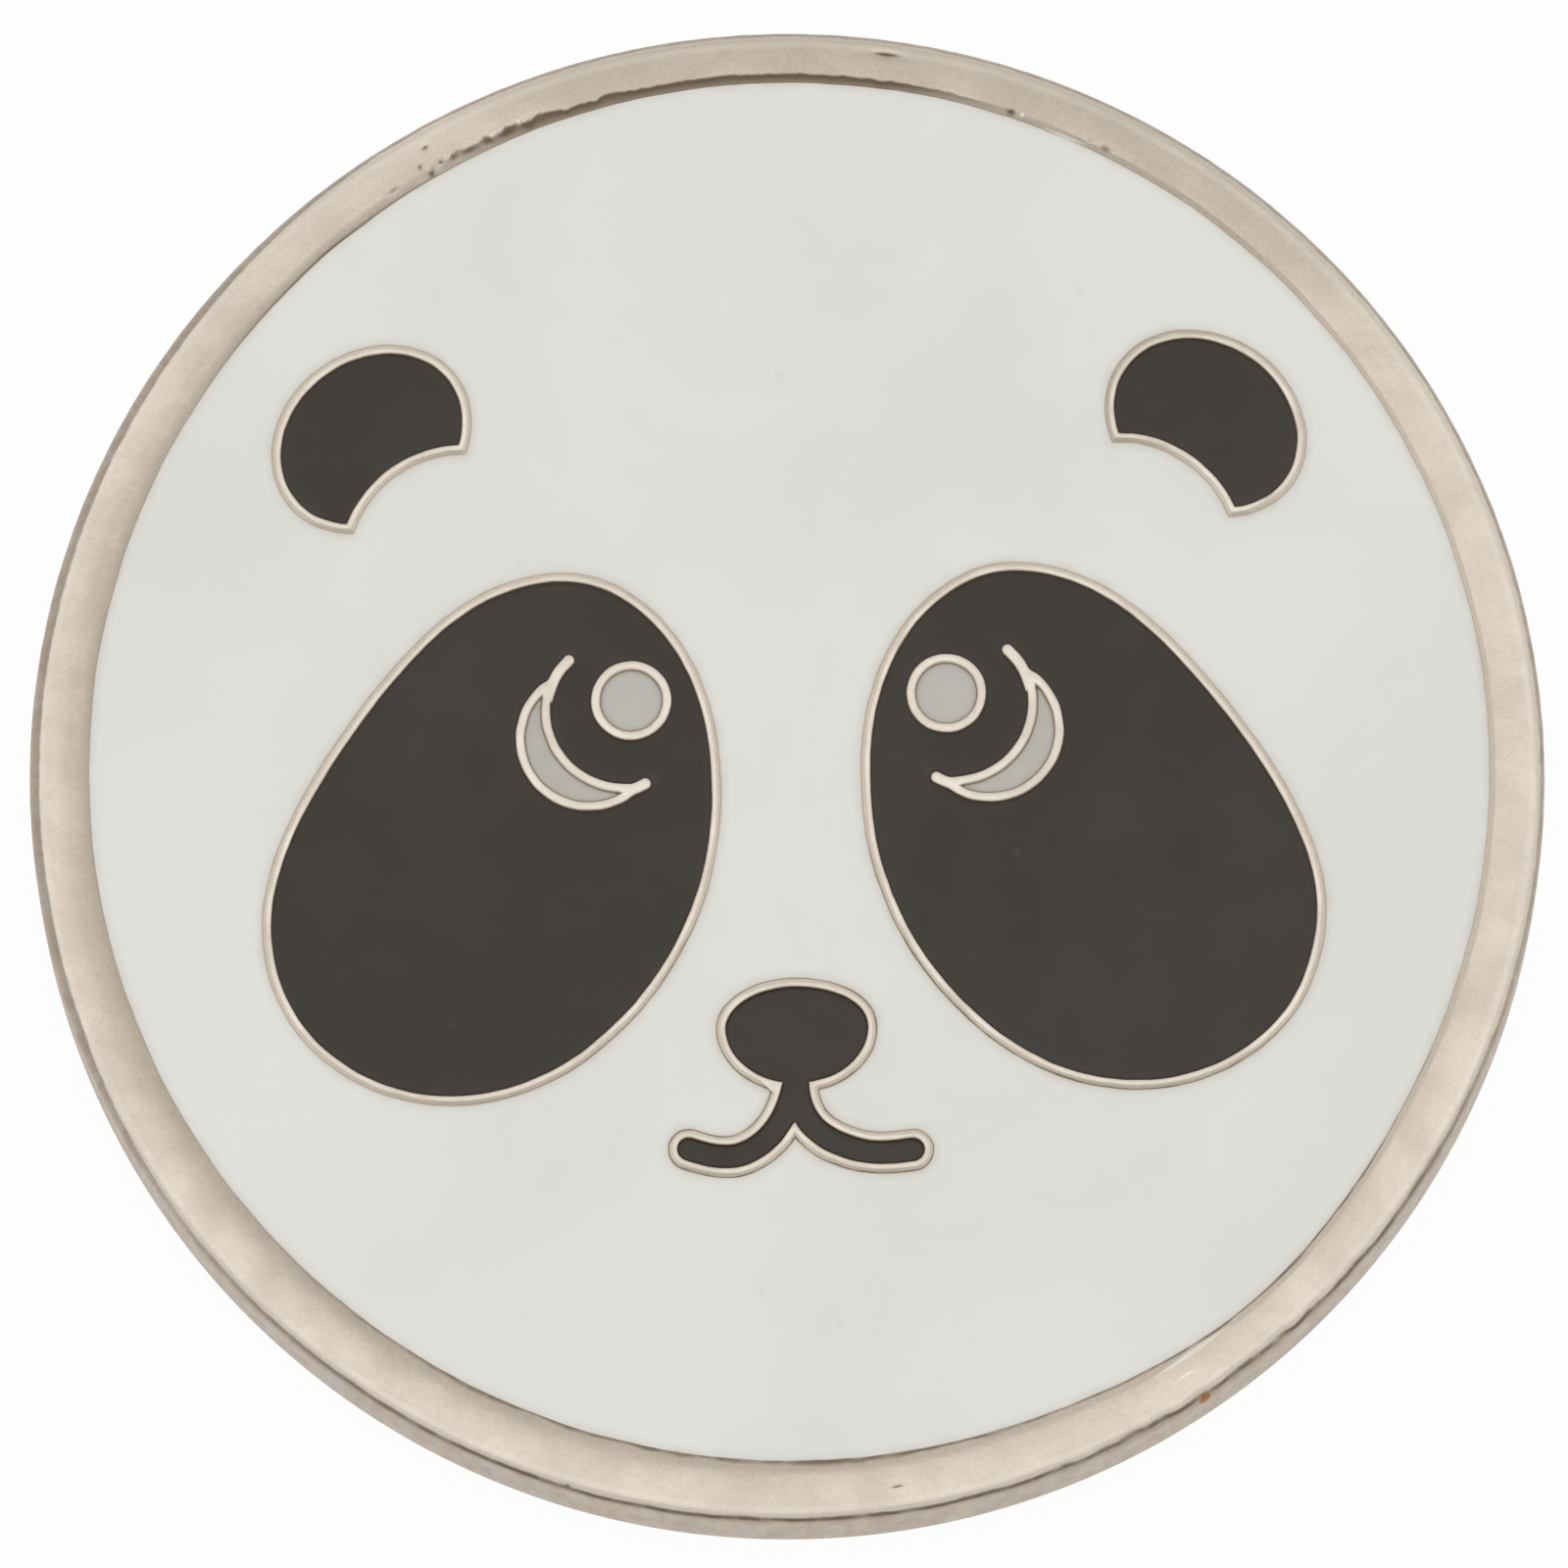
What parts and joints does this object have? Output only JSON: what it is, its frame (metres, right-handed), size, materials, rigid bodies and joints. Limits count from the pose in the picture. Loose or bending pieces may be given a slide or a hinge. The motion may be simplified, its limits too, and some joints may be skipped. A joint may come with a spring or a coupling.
{
  "type": "golf ball marker",
  "caption": "Round struck metal golf ball marker with a raised rim and an animal's face in coloured enamel, laid on the green to mark a ball's place.",
  "frame": {"origin": "centre of the flat back face", "axes": "+Z out of the enamelled front, +Y to the top of the face, +X to the right as seen from the front"},
  "size_m": [0.025, 0.025, 0.002],
  "materials": {
    "nickel_plate": "warm nickel plate over a struck iron disc, worn and lightly scratched",
    "white_enamel": "smooth satin white enamel",
    "black_enamel": "smooth satin black enamel with a warm brown tint",
    "grey_enamel": "smooth satin light grey enamel"
  },
  "bodies": {
    "root": {"struck_disc": "nickel_plate", "white_field_enamel": "white_enamel", "left_ear_enamel": "black_enamel", "right_ear_enamel": "black_enamel", "left_eye_patch_enamel": "black_enamel", "right_eye_patch_enamel": "black_enamel", "left_eye_glint_enamel": "grey_enamel", "right_eye_glint_enamel": "grey_enamel", "left_eye_crescent_enamel": "grey_enamel", "right_eye_crescent_enamel": "grey_enamel", "nose_mouth_enamel": "black_enamel"}
  },
  "joints": []
}
